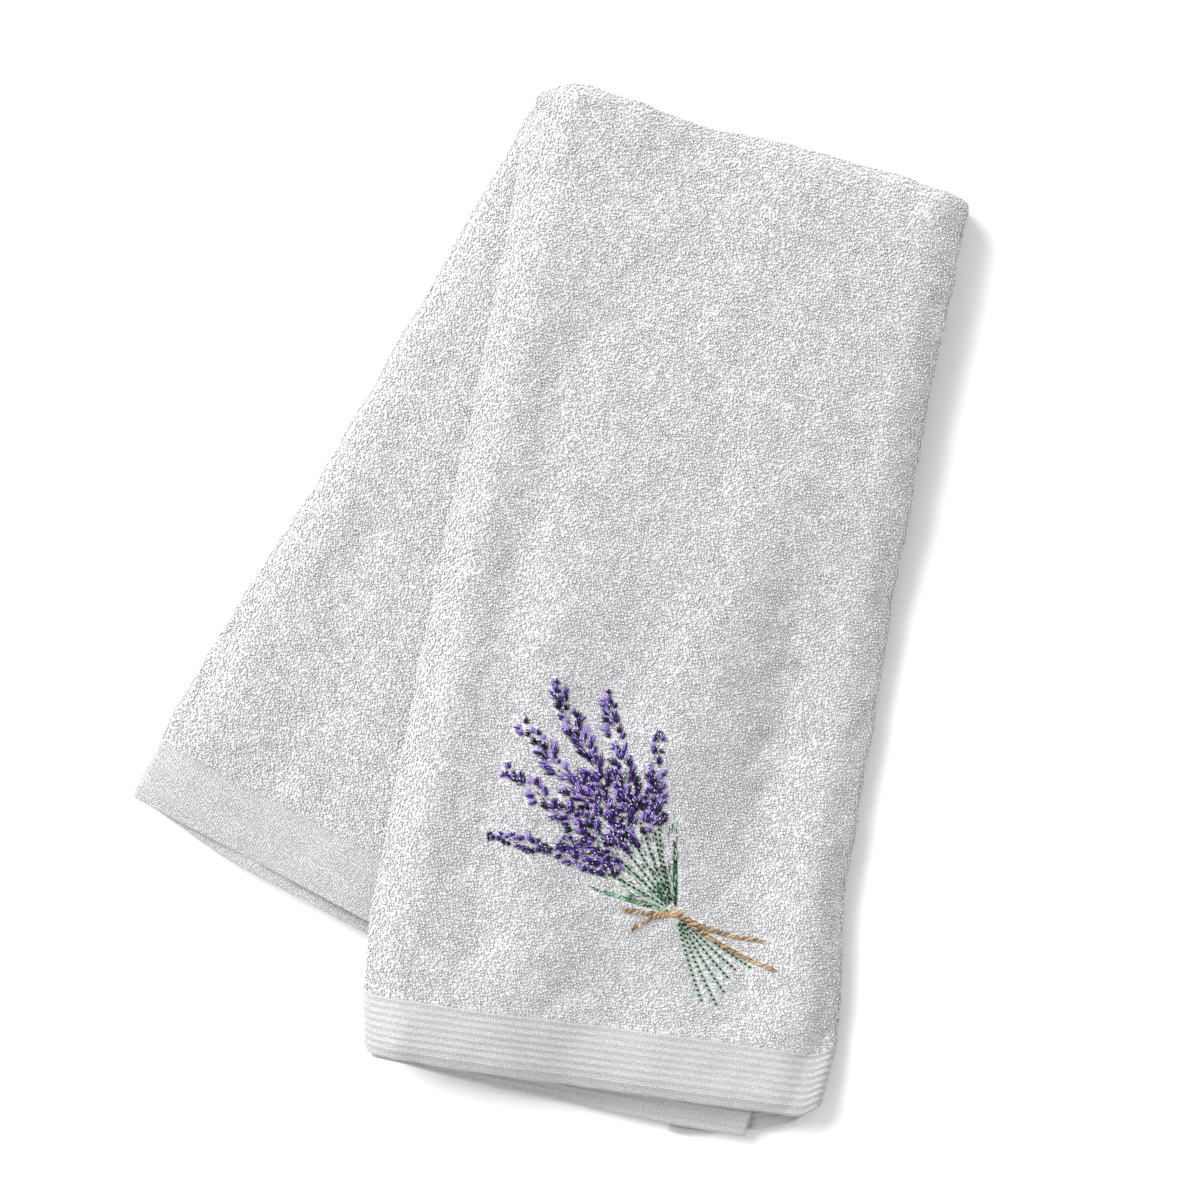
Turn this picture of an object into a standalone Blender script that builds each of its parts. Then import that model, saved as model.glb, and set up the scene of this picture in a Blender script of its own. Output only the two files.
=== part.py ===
"""Hand towel of white cotton terry, folded in three lengthwise and in two crosswise.

The strip made by the lengthwise folds has a panel with a left flap and a right flap
under it. The crosswise fold lies at the top of the plan. The front half comes down
from it, and the back half fans out to the left underneath.

Metres, +Z up. The origin is the middle of the footprint, on the surface below.
"""

import math
from collections import namedtuple

import bpy
from mathutils import Vector

# Terry cloth, with the loops on both faces
THICKNESS = 0.0028
LAYER_PITCH = 0.0035
LOWEST_MIDDLE = THICKNESS / 2

# Flaps, as shares of the panel's width
LEFT_FLAP = 0.875
RIGHT_FLAP = 0.30

# A layer stays level until EDGE_MARGIN past the edge of the one below it, and then
# comes down over SETTLE_LENGTH, or over HEM_SETTLE_LENGTH past the back half's hem.
# The front half comes down past the back half's right edge only from HANG_FROM of its
# length on, and comes down fully HANG_SHARE further.
EDGE_MARGIN = 0.006
SETTLE_LENGTH, HEM_SETTLE_LENGTH = 0.052, 0.110
HANG_FROM, HANG_SHARE = 0.15, 0.45

# Layers stand puffed up between their folds. They come down to a fold within its
# shoulder. The front loses this share of its puff from a share of its width on.
PUFF = 0.0064
PUFF_LOST, PUFF_LOST_FROM, PUFF_LOST_OVER = 0.62, 0.14, 0.70
LEFT_SHOULDER, RIGHT_SHOULDER, RIGHT_DROP = 0.0175, 0.0110, 0.0012
RIGHT_CREST, RIGHT_CREST_HEIGHT, RIGHT_CREST_WIDTH = 0.0110, 0.0013, 0.0095
COVERED_FROM, COVERED_SLOPE, COVERED_LOW = 0.020, 0.070, 0.8
CROSS_RISE, CROSS_RISE_LENGTH = 0.42, 0.100

# At the front hem the panel rolls down a little, and the flaps droop under it. The
# back hem stands up off the surface below.
HEM_ROLL, HEM_DROP = 0.0078, 0.0036
FLAP_DROP, FLAP_DROP_FROM, FLAP_DROP_LENGTH = 0.0065, -0.008, 0.022
BACK_HEM_LIFT, BACK_HEM_SLOPE = 0.0074, 0.060

# How far the crosswise fold reaches out, how much less at its corners, and how square
# it is (1 is round). A layer inside it is rounder, up to CROSS_ROUND of its half
# height, and reaches no further than CROSS_SLIM of that less CROSS_TIGHT.
CROSS_REACH, CROSS_CORNER, CROSS_SQUARE = 0.0152, 0.0016, 0.48
CROSS_ROUND, CROSS_SLIM, CROSS_TIGHT = 0.0085, 1.65, 0.0013

# Plan of each half from the crosswise fold (share 0) to its hem (share 1): the points
# where the panel turns into its left fold and its right fold.
Section = namedtuple("Section", "share left right")
FRONT_PLAN = (
    Section(0.00, Vector((-0.0055, 0.2100)), Vector((0.1703, 0.1586))),
    Section(0.25, Vector((-0.0240, 0.1103)), Vector((0.1525, 0.0661))),
    Section(0.50, Vector((-0.0444, 0.0120)), Vector((0.1365, -0.0271))),
    Section(0.75, Vector((-0.0640, -0.0867)), Vector((0.1216, -0.1199))),
    Section(0.90, Vector((-0.0738, -0.1455)), Vector((0.1187, -0.1757))),
    Section(1.00, Vector((-0.0748, -0.1850)), Vector((0.1089, -0.2127))),
)
BACK_PLAN = (
    Section(0.00, Vector((-0.0055, 0.2100)), Vector((0.1703, 0.1586))),
    Section(0.50, Vector((-0.0890, 0.0656)), Vector((0.0765, -0.0015))),
    Section(0.80, Vector((-0.1419, -0.0205)), Vector((0.0215, -0.0976))),
    Section(1.00, Vector((-0.1736, -0.0785)), Vector((-0.0151, -0.1619))),
)

# How far each layer's hem shows past the front panel's or the back flap's hem
Hem = namedtuple("Hem", "panel left_fold left_selvage right_fold right_selvage")
FRONT_HEM = Hem(0.0, 0.001, 0.013, 0.002, 0.016)
BACK_HEM = Hem(0.0050, 0.0, 0.0, 0.0, 0.0)
PANEL_HEM_GROWS = 0.30  # share of the width over which the panel's hem comes out

# Broad soft ridges of the top layers, in plan, and a trough with a height below 0
Ridge = namedtuple("Ridge", "start end height half_width")
FRONT_RIDGES = (
    Ridge(Vector((0.0639, 0.1599)), Vector((0.0299, 0.0049)), 0.0016, 0.024),
    Ridge(Vector((0.0639, -0.1341)), Vector((0.0389, -0.1881)), 0.0012, 0.016),
    Ridge(Vector((0.1140, -0.0450)), Vector((0.1000, -0.1700)), 0.0024, 0.012),
    Ridge(Vector((0.0930, -0.0600)), Vector((0.0800, -0.1650)), -0.0010, 0.011),
    Ridge(Vector((0.1120, -0.1920)), Vector((0.1060, -0.2160)), -0.0022, 0.018),
)
BACK_RIDGES = (
    Ridge(Vector((-0.0451, 0.0809)), Vector((-0.0851, -0.1131)), 0.0020, 0.016),
    Ridge(Vector((-0.0090, 0.1500)), Vector((-0.0690, -0.1400)), 0.0022, 0.013),
)

# A layer's slope at its fold is taken over this run.
SLOPE_RUN = 0.001

# Facets, and how much closer they lie at the folds and at the front hem
FLAP_STEPS, PANEL_STEPS, SHORT_FLAP_STEPS, FOLD_STEPS = 11, 16, 5, 6
FRONT_STEPS, CROSS_FOLD_STEPS, BACK_STEPS = 30, 10, 24
FLAP_CLOSER, PANEL_CLOSER, HEM_CLOSER = 1.5, 0.6, 1.35

CLOTH_COLOR = (0.88, 0.88, 0.90, 1.0)
CLOTH_ROUGHNESS = 0.95
NODE_NAME = "towel_cloth"
OBJECT_NAME = "hand_towel"

# A place across the strip: share of the panel's width, which fold it is nearest
# (-1 left, +1 right), and how far it has turned under, from 0 to pi.
Across = namedtuple("Across", "share side turn")
# A place along the strip: share of a half's length, and how far it has turned under
# at the crosswise fold, from 0 (front half) to pi (back half).
Along = namedtuple("Along", "share turn")


def ease(value):
    """0 up to 0, 1 from 1 on, and a soft step between."""
    held = min(max(value, 0.0), 1.0)
    return held * held * (3 - 2 * held)


def under(turn):
    """Share of the way from the upper layer to the lower one after a turn."""
    return (1 - math.cos(turn)) / 2


def mound(distance, half_width):
    """Height share of a soft ridge at a distance from its crest."""
    return math.exp(-((distance / half_width) ** 2))


def shoulder(distance, width):
    """1 at a fold, down to 0 this far from it, as the square of what is left."""
    return (1 - min(max(distance / width, 0.0), 1.0)) ** 2


def support(past_edge, settle_length=SETTLE_LENGTH):
    """1 on the layer below, softly down to 0 past its edge."""
    return 1 - ease((past_edge - EDGE_MARGIN) / settle_length)


def on_curve(sections, side, share):
    """Point of the smooth side line at a share of the length."""
    last = len(sections) - 2
    index = max(n for n in range(last + 1) if n == 0 or sections[n].share <= share)
    below, above = sections[index], sections[index + 1]
    span = above.share - below.share
    start, end = getattr(below, side), getattr(above, side)

    def slope(middle):
        before = sections[max(middle - 1, 0)]
        after = sections[min(middle + 1, last + 1)]
        return (getattr(after, side) - getattr(before, side)) / (after.share - before.share)

    x = (share - below.share) / span
    if x > 1:
        return end + slope(index + 1) * (share - above.share)
    return (
        start * (1 + 2 * x) * (1 - x) ** 2
        + slope(index) * span * x * (1 - x) ** 2
        + end * x * x * (3 - 2 * x)
        + slope(index + 1) * span * x * x * (x - 1)
    )


def past_line(point, start, end):
    """Signed distance of a plan point to the right of the line from start to end."""
    way = (end - start).normalized()
    return way.y * (point.x - start.x) - way.x * (point.y - start.y)


def ridge_height(point, ridges):
    """Height of the soft ridges at a plan point."""
    total = 0.0
    for ridge in ridges:
        run = ridge.end - ridge.start
        share = min(max((point - ridge.start).dot(run) / run.length_squared, 0.0), 1.0)
        total += ridge.height * mound((point - ridge.start - run * share).length, ridge.half_width)
    return total


def back_heights(point, hem_settle=SETTLE_LENGTH, hang=1.0):
    """Middle heights of the back half at a plan point: left flap, right flap, and the
    next layer above them all. Then the lift at the hem."""
    top, hem = BACK_PLAN[0], BACK_PLAN[-1]
    from_left = -past_line(point, top.left, hem.left)
    from_right = past_line(point, top.right, hem.right)
    width = from_left + from_right
    past_hem = past_line(point, hem.left, hem.right) - BACK_HEM.panel
    inside = support(-from_left) * support(past_hem, hem_settle)
    panel = inside * (1 - hang * (1 - support(-from_right)))
    left_flap = inside * support(from_left - LEFT_FLAP * width)
    right_flap = panel * support((1 - RIGHT_FLAP) * width - from_left)
    at_hem = ease(1 + past_hem / BACK_HEM_SLOPE)
    covered = past_line(point, FRONT_PLAN[-1].left, FRONT_PLAN[0].left) - COVERED_FROM
    rise = PUFF * (1 - COVERED_LOW * ease(covered / COVERED_SLOPE)) * (1 - at_hem)
    from_top = past_line(point, top.left, top.right)
    rise *= CROSS_RISE + (1 - CROSS_RISE) * ease(from_top / CROSS_RISE_LENGTH)
    lift = BACK_HEM_LIFT * at_hem
    raised = rise * (1 - shoulder(from_left, LEFT_SHOULDER)) + lift
    raised += ridge_height(point, BACK_RIDGES)
    left = LOWEST_MIDDLE + LAYER_PITCH * panel + raised * inside
    right = left + LAYER_PITCH * left_flap
    return left, right, right + LAYER_PITCH * right_flap, lift


def back_layers(point, place, width, share):
    """Middle heights of the back half's panel and of the flap at this side."""
    left, right, _, lift = back_heights(point)
    return LOWEST_MIDDLE + lift, left if place.side < 0 else right


def front_layers(point, place, width, share):
    """Middle heights of the front half's panel and of the flap at this side."""
    from_hem = (1 - share) * (FRONT_PLAN[0].left - FRONT_PLAN[-1].left).length
    base = back_heights(point, HEM_SETTLE_LENGTH, ease((share - HANG_FROM) / HANG_SHARE))[2]
    right_flap = support((1 - RIGHT_FLAP - place.share) * width)
    left_flap = support((place.share - LEFT_FLAP) * width)
    panel = base + LAYER_PITCH * (right_flap + left_flap) + ridge_height(point, FRONT_RIDGES)
    from_right = (1 - place.share) * width
    by_left = 1 - shoulder(place.share * width, LEFT_SHOULDER)
    panel += PUFF * by_left * (1 - PUFF_LOST * ease((place.share - PUFF_LOST_FROM) / PUFF_LOST_OVER))
    panel -= RIGHT_DROP * shoulder(from_right, RIGHT_SHOULDER)
    panel += RIGHT_CREST_HEIGHT * mound(from_right - RIGHT_CREST, RIGHT_CREST_WIDTH)
    panel -= HEM_DROP * shoulder(from_hem, HEM_ROLL) * by_left
    past_hem = past_line(point, FRONT_PLAN[-1].left, FRONT_PLAN[-1].right) - FLAP_DROP_FROM
    base = max(base - FLAP_DROP * ease(past_hem / FLAP_DROP_LENGTH), LOWEST_MIDDLE)
    panel = max(panel, base + LAYER_PITCH * (right_flap + left_flap))
    return panel, base + LAYER_PITCH * right_flap if place.side < 0 else base


def hem_reach(hem, place):
    """How far past the plan's last section the cloth goes at this place. A flap's hem
    comes out quickly from its fold and then levels off towards its selvage."""
    if place.side < 0:
        fold, selvage, from_fold = hem.left_fold, hem.left_selvage, place.share / LEFT_FLAP
    else:
        fold, selvage = hem.right_fold, hem.right_selvage
        from_fold = (1 - place.share) / RIGHT_FLAP
    flap = fold + (selvage - fold) * math.sin(min(from_fold, 1.0) * math.pi / 2)
    panel = hem.panel * ease(place.share / PANEL_HEM_GROWS)
    return panel + (flap - panel) * under(place.turn)


def fold_arc(heights, slopes, turn):
    """Way out and height of a point on the arc that joins a panel to its flap. The arc
    leaves the upper layer's edge along its slope and runs into the lower layer's."""
    upper, lower = (0, 1) if heights[0] > heights[1] else (1, 0)
    down, up = slopes[upper], slopes[lower]
    sideways = math.sin(up) + math.sin(down)
    radius = (heights[upper] - heights[lower]) / (
        math.cos(down) + math.cos(up) + math.tan(up) * sideways
    )
    from_upper = turn / math.pi if upper == 0 else 1 - turn / math.pi
    angle = down + (math.pi + up - down) * from_upper
    out = radius * (math.sin(angle) - math.sin(down))
    return out, heights[upper] - radius * (math.cos(down) - math.cos(angle))


def strip_point(plan, hem, layers, place, share):
    """Point of the cloth's middle in one half, at a place across it."""
    length = (plan[0].left - plan[-1].left).length
    reached = share * (1 + hem_reach(hem, place) / length)
    left = on_curve(plan, "left", reached)
    right = on_curve(plan, "right", reached)
    across = right - left
    point = left + across * place.share
    heights = layers(point, place, across.length, share)
    if place.share not in (0.0, 1.0):
        return Vector((point.x, point.y, heights[1] if place.turn else heights[0]))
    run = -place.side * SLOPE_RUN
    further = place._replace(share=place.share + run / across.length)
    inner = layers(point + across.normalized() * run, further, across.length, share)
    slopes = [math.atan((inner[n] - heights[n]) / SLOPE_RUN) for n in (0, 1)]
    swing, height = fold_arc(heights, slopes, place.turn)
    point += across.normalized() * swing * place.side
    return Vector((point.x, point.y, height))


def cloth_point(place, along):
    """Point of the cloth's middle at a place across and along the strip."""
    if along.turn == 0:
        return strip_point(FRONT_PLAN, FRONT_HEM, front_layers, place, along.share)
    if along.turn == math.pi:
        return strip_point(BACK_PLAN, BACK_HEM, back_layers, place, along.share)
    front = strip_point(FRONT_PLAN, FRONT_HEM, front_layers, place, 0.0)
    back = strip_point(BACK_PLAN, BACK_HEM, back_layers, place, 0.0)
    line = FRONT_PLAN[0].right - FRONT_PLAN[0].left
    outward = Vector((-line.y, line.x, 0)).normalized()
    panel = Across(place.share, place.side, 0.0)
    top = strip_point(FRONT_PLAN, FRONT_HEM, front_layers, panel, 0.0)
    bottom = strip_point(BACK_PLAN, BACK_HEM, back_layers, panel, 0.0)
    half_height = (front.z - back.z) / 2
    inner = (top.z - bottom.z) / 2 - half_height
    reach = CROSS_REACH - CROSS_CORNER * (2 * place.share - 1) ** 8 - inner
    reach = min(reach, CROSS_SLIM * half_height - CROSS_TIGHT)
    square = 1 - (1 - CROSS_SQUARE) * ease(half_height / CROSS_ROUND)
    level = math.copysign(abs(math.cos(along.turn)) ** square, math.cos(along.turn))
    return front.lerp(back, (1 - level) / 2) + outward * reach * math.sin(along.turn) ** square


def across_places():
    """Places across the cloth, from the left flap's selvage to the right flap's."""
    places = []
    for n in range(FLAP_STEPS):
        share = LEFT_FLAP * (1 - n / FLAP_STEPS) ** FLAP_CLOSER
        places.append(Across(share, -1, math.pi))
    places += [Across(0.0, -1, math.pi * (1 - n / FOLD_STEPS)) for n in range(FOLD_STEPS)]
    for n in range(PANEL_STEPS + 1):
        turn = math.tau * n / PANEL_STEPS
        share = (turn - PANEL_CLOSER * math.sin(turn)) / math.tau
        places.append(Across(share, -1 if share < 0.5 else 1, 0.0))
    places += [Across(1.0, 1, math.pi * (n + 1) / FOLD_STEPS) for n in range(FOLD_STEPS)]
    for n in range(SHORT_FLAP_STEPS):
        share = 1 - RIGHT_FLAP * (n + 1) / SHORT_FLAP_STEPS
        places.append(Across(share, 1, math.pi))
    return places


def along_places():
    """Places along the cloth, from the front hem over the crosswise fold to the back hem."""
    places = [Along(1 - (n / FRONT_STEPS) ** HEM_CLOSER, 0.0) for n in range(FRONT_STEPS + 1)]
    for n in range(1, CROSS_FOLD_STEPS):
        places.append(Along(0.0, math.pi * n / CROSS_FOLD_STEPS))
    places += [Along(n / BACK_STEPS, math.pi) for n in range(BACK_STEPS + 1)]
    return places


def make_cloth():
    """The cloth's middle surface as a grid laid on its folds, given its thickness."""
    across, along = across_places(), along_places()
    bpy.ops.mesh.primitive_grid_add(
        x_subdivisions=len(across) - 1, y_subdivisions=len(along) - 1, size=1
    )
    cloth = bpy.context.object
    cloth.name = NODE_NAME
    cloth.data.name = NODE_NAME
    for vertex in cloth.data.vertices:
        column = round((vertex.co.x + 0.5) * (len(across) - 1))
        row = round((vertex.co.y + 0.5) * (len(along) - 1))
        vertex.co = cloth_point(across[column], along[row])
    cloth.data.shade_smooth()
    thick = cloth.modifiers.new("Thickness", "SOLIDIFY")
    thick.thickness = THICKNESS
    thick.offset = 0
    thick.use_even_offset = True
    return cloth


def terry_material():
    """White cotton terry: matt and slightly cool."""
    terry = bpy.data.materials.new("white cotton terry")
    terry.use_nodes = True
    shader = terry.node_tree.nodes["Principled BSDF"]
    shader.inputs["Base Color"].default_value = CLOTH_COLOR
    shader.inputs["Roughness"].default_value = CLOTH_ROUGHNESS
    shader.inputs["Metallic"].default_value = 0.0
    return terry


def main():
    for old in list(bpy.data.objects):
        bpy.data.objects.remove(old, do_unlink=True)
    parts = bpy.data.collections.new(OBJECT_NAME)
    bpy.context.scene.collection.children.link(parts)
    cloth = make_cloth()
    cloth.data.materials.append(terry_material())
    for home in list(cloth.users_collection):
        home.objects.unlink(cloth)
    parts.objects.link(cloth)


main()
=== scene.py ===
import math
from collections import namedtuple

import bpy
import numpy as np
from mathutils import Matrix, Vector, kdtree, noise


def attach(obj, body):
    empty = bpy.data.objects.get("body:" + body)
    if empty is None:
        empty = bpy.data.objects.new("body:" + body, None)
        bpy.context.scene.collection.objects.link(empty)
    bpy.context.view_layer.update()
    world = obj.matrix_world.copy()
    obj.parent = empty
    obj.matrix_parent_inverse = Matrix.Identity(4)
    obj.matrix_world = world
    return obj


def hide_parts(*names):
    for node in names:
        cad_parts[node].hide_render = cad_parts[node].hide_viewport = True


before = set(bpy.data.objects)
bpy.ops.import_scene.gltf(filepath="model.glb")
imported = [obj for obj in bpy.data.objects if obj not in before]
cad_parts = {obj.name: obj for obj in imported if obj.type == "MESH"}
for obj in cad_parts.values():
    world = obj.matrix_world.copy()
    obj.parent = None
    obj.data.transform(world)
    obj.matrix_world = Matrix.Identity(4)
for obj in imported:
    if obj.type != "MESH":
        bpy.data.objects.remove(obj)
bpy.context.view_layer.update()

# ------------------------------------------------
# Camera: straight above the towel, with the top of the plan at the top of the picture.
# Metres throughout, +Z up.
VIEW_WIDTH = 0.496
VIEW_CENTRE = (0.0179, 0.0088)
CAMERA_HEIGHT = 1.60
MIDDLE_HEIGHT = 0.012

camera = bpy.data.objects.new("camera", bpy.data.cameras.new("camera"))
bpy.context.scene.collection.objects.link(camera)
camera.location = (*VIEW_CENTRE, CAMERA_HEIGHT)
camera.data.angle = 2 * math.atan(VIEW_WIDTH / 2 / (CAMERA_HEIGHT - MIDDLE_HEIGHT))
bpy.context.scene.camera = camera

# ------------------------------------------------
# Studio: a table top of matt white paper, a pale tent of light all round, and one large
# soft box above the upper left.
PAPER_WHITE, TENT_WHITE = "FCFCFC", "FEFEFF"
PAPER_GRAINS = 900.0  # to the metre
TABLE_SIZE = 6.0
TENT_STRENGTH = 0.77
KEY_TOWARDS = Vector((-0.60, 0.51, 0.59))
KEY_DISTANCE, KEY_SIZE, KEY_POWER = 6.0, 3.8, 555.0


def linear(hex_colour):
    """Linear RGBA of an sRGB hex colour."""
    found = []
    for start in (0, 2, 4):
        value = int(hex_colour[start:start + 2], 16) / 255
        found.append(value / 12.92 if value <= 0.04045 else ((value + 0.055) / 1.055) ** 2.4)
    return (*found, 1.0)


def node(tree, kind, inputs=None, **settings):
    """Adds a node. Each input is given a value, or the output that feeds it."""
    made = tree.nodes.new(kind)
    for key, value in settings.items():
        setattr(made, key, value)
    for key, value in (inputs or {}).items():
        if isinstance(value, bpy.types.NodeSocket):
            tree.links.new(value, made.inputs[key])
        else:
            made.inputs[key].default_value = value
    return made


def new_material(name):
    """An empty material and its node tree."""
    material = bpy.data.materials.new(name)
    material.use_nodes = True
    material.node_tree.nodes.clear()
    return material, material.node_tree


# Matt paper, pressed smooth: an even white that takes soft shadows, with a grain too faint
# to see from here
paper, tree = new_material("matt white paper")
grain = node(tree, "ShaderNodeTexNoise", {"Scale": PAPER_GRAINS, "Detail": 3.0})
bump = node(tree, "ShaderNodeBump", {
    "Height": grain.outputs["Fac"], "Strength": 0.05, "Distance": 0.0002,
})
shader = node(tree, "ShaderNodeBsdfPrincipled", {
    "Base Color": linear(PAPER_WHITE), "Roughness": 0.9, "Normal": bump.outputs["Normal"],
})
node(tree, "ShaderNodeOutputMaterial", {"Surface": shader.outputs["BSDF"]})

bpy.ops.mesh.primitive_plane_add(size=TABLE_SIZE, location=(0, 0, 0))
table = bpy.context.object
table.name = "table_top"
table.data.materials.append(paper)

world = bpy.data.worlds.new("light tent")
world.use_nodes = True
world.node_tree.nodes["Background"].inputs["Color"].default_value = linear(TENT_WHITE)
world.node_tree.nodes["Background"].inputs["Strength"].default_value = TENT_STRENGTH
bpy.context.scene.world = world

key = bpy.data.objects.new("soft_box", bpy.data.lights.new("soft_box", "AREA"))
key.data.size = KEY_SIZE
key.data.energy = KEY_POWER
key.location = KEY_TOWARDS.normalized() * KEY_DISTANCE
key.rotation_euler = KEY_TOWARDS.to_track_quat("Z", "Y").to_euler()
bpy.context.scene.collection.objects.link(key)
bpy.context.scene.view_settings.view_transform = "Standard"

# Sizes of its folds, which are the solid's own, in metres or as shares: a panel with a
# left and a right flap under it
LAYER_PITCH = 0.0035
LOWEST_MIDDLE = 0.0014
LEFT_FLAP, RIGHT_FLAP = 0.875, 0.30
EDGE_MARGIN, SETTLE_LENGTH = 0.006, 0.052
HEM_SETTLE_LENGTH, HANG_FROM, HANG_SHARE = 0.110, 0.15, 0.45
PUFF, PUFF_LOST, PUFF_LOST_FROM, PUFF_LOST_OVER = 0.0064, 0.62, 0.14, 0.70
LEFT_SHOULDER, RIGHT_SHOULDER, RIGHT_DROP = 0.0175, 0.0110, 0.0012
RIGHT_CREST, RIGHT_CREST_HEIGHT, RIGHT_CREST_WIDTH = 0.0110, 0.0013, 0.0095
HEM_ROLL, HEM_DROP = 0.0078, 0.0036
FLAP_DROP, FLAP_DROP_FROM, FLAP_DROP_LENGTH = 0.0065, -0.008, 0.022
BACK_HEM_LIFT, BACK_HEM_SLOPE = 0.0074, 0.060
COVERED_FROM, COVERED_SLOPE, COVERED_LOW = 0.020, 0.070, 0.8
CROSS_RISE, CROSS_RISE_LENGTH = 0.42, 0.100
CROSS_REACH, CROSS_CORNER, CROSS_SQUARE = 0.0152, 0.0016, 0.48
CROSS_ROUND, CROSS_SLIM, CROSS_TIGHT = 0.0085, 1.65, 0.0013
SLOPE_RUN = 0.001

# Side lines of the two halves in plan, from the crosswise fold to the hem, and how far the
# hem goes past the last section at the panel and at each flap's fold and selvage
Section = namedtuple("Section", "share left right")
FRONT_PLAN = (
    Section(0.00, (-0.0055, 0.2100), (0.1703, 0.1586)),
    Section(0.25, (-0.0240, 0.1103), (0.1525, 0.0661)),
    Section(0.50, (-0.0444, 0.0120), (0.1365, -0.0271)),
    Section(0.75, (-0.0640, -0.0867), (0.1216, -0.1199)),
    Section(0.90, (-0.0738, -0.1455), (0.1187, -0.1757)),
    Section(1.00, (-0.0748, -0.1850), (0.1089, -0.2127)),
)
BACK_PLAN = (
    Section(0.00, (-0.0055, 0.2100), (0.1703, 0.1586)),
    Section(0.50, (-0.0890, 0.0656), (0.0765, -0.0015)),
    Section(0.80, (-0.1419, -0.0205), (0.0215, -0.0976)),
    Section(1.00, (-0.1736, -0.0785), (-0.0151, -0.1619)),
)
Hem = namedtuple("Hem", "panel left_fold left_selvage right_fold right_selvage corners")
FRONT_HEM = Hem(0.0, 0.001, 0.013, 0.002, 0.016, (0.0046, 0.0080))
BACK_HEM = Hem(0.0050, 0.0, 0.0, 0.0, 0.0, (0.0022, 0.0022))
PANEL_HEM_GROWS = 0.30
HEM_WIDTH, HEM_BULGE = 0.180, 0.0020
HEM_CLOSE = 0.0013

# Soft ridges, and troughs with a height below 0, in plan. The first four at the front and
# the first two at the back are the solid's own.
Ridge = namedtuple("Ridge", "start end height half_width")
FRONT_RIDGES = (
    Ridge((0.0639, 0.1599), (0.0299, 0.0049), 0.0016, 0.024),
    Ridge((0.0639, -0.1341), (0.0389, -0.1881), 0.0012, 0.016),
    Ridge((0.1140, -0.0450), (0.1000, -0.1700), 0.0024, 0.012),
    Ridge((0.0930, -0.0600), (0.0800, -0.1650), -0.0010, 0.011),
    Ridge((0.1120, -0.1900), (0.1060, -0.2160), -0.0040, 0.017),
    Ridge((0.1050, 0.0200), (0.0960, -0.0500), -0.0018, 0.011),
    Ridge((-0.0120, 0.0200), (-0.0340, -0.1400), -0.0026, 0.012),
    Ridge((0.0760, 0.0700), (0.0680, 0.0420), -0.0012, 0.008),
    Ridge((0.0160, 0.1180), (0.0040, 0.0960), -0.0012, 0.008),
    Ridge((-0.0060, 0.0420), (-0.0160, 0.0200), -0.0012, 0.008),
    Ridge((0.0120, -0.1500), (0.0000, -0.1640), -0.0012, 0.008),
    Ridge((0.1000, 0.1500), (0.0800, 0.1000), -0.0009, 0.012),
    Ridge((0.0450, -0.0100), (0.0300, -0.0500), -0.0008, 0.011),
)
BACK_RIDGES = (
    Ridge((-0.0451, 0.0809), (-0.0851, -0.1131), 0.0020, 0.016),
    Ridge((-0.0090, 0.1500), (-0.0690, -0.1400), 0.0022, 0.013),
    Ridge((-0.0760, 0.0360), (-0.0900, 0.0150), -0.0012, 0.009),
    Ridge((-0.0480, 0.1000), (-0.0590, 0.0780), -0.0012, 0.008),
    Ridge((-0.1020, -0.0440), (-0.1140, -0.0640), -0.0012, 0.009),
)
SOLID_BACK_RIDGES = 2

# Bands and half thicknesses of the cloth: ground under the loops, bands, turned edges
BAND_WIDTH = 0.027
RIB_PITCH, RIB_HEIGHT, RIB_HALF_WIDTH = 0.0030, 0.00044, 0.20
GROUND_HALF, BAND_HALF = 0.00075, 0.00100
TURNED_EDGE, TURNED_EDGE_THIN = 0.0011, 0.25
SELVAGE_THINNING = (0.3, 0.6, 0.9)

# Rows and columns of the mesh. They lie closer at folds, hems and selvages.
BAND_STEPS, PLAIN_BAND_STEPS = 46, 9
FRONT_STEPS, CROSS_STEPS, BACK_STEPS = 104, 14, 96
FLAP_STEPS, PANEL_STEPS, SHORT_FLAP_STEPS, FOLD_STEPS = 42, 64, 12, 10
FLAP_CLOSER, PANEL_CLOSER = 1.3, 0.6
HEM_EDGE = (0.0, 0.004, 0.016, 0.040)  # shares of the band's width
SELVAGE_EDGE = (0.0, 0.0008, 0.0030, 0.0080)  # shares of the panel's width


def ease(value):
    """0 up to 0 and 1 from 1 on, smoothly between them."""
    held = np.clip(value, 0.0, 1.0)
    return held * held * (3 - 2 * held)


def under(turn):
    """Share of the way from the upper layer to the lower one after a turn."""
    return (1 - np.cos(turn)) / 2


def mound(distance, half_width):
    """1 at no distance, softly down to 0 on both sides."""
    return np.exp(-((distance / half_width) ** 2))


def shoulder(distance, width):
    """1 at a fold, down to 0 this far from it, as the square of what is left."""
    return (1 - np.clip(distance / width, 0.0, 1.0)) ** 2


def support(past_edge, settle_length=SETTLE_LENGTH):
    """1 on the layer below, softly down to 0 past its edge."""
    return 1 - ease((past_edge - EDGE_MARGIN) / settle_length)


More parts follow.
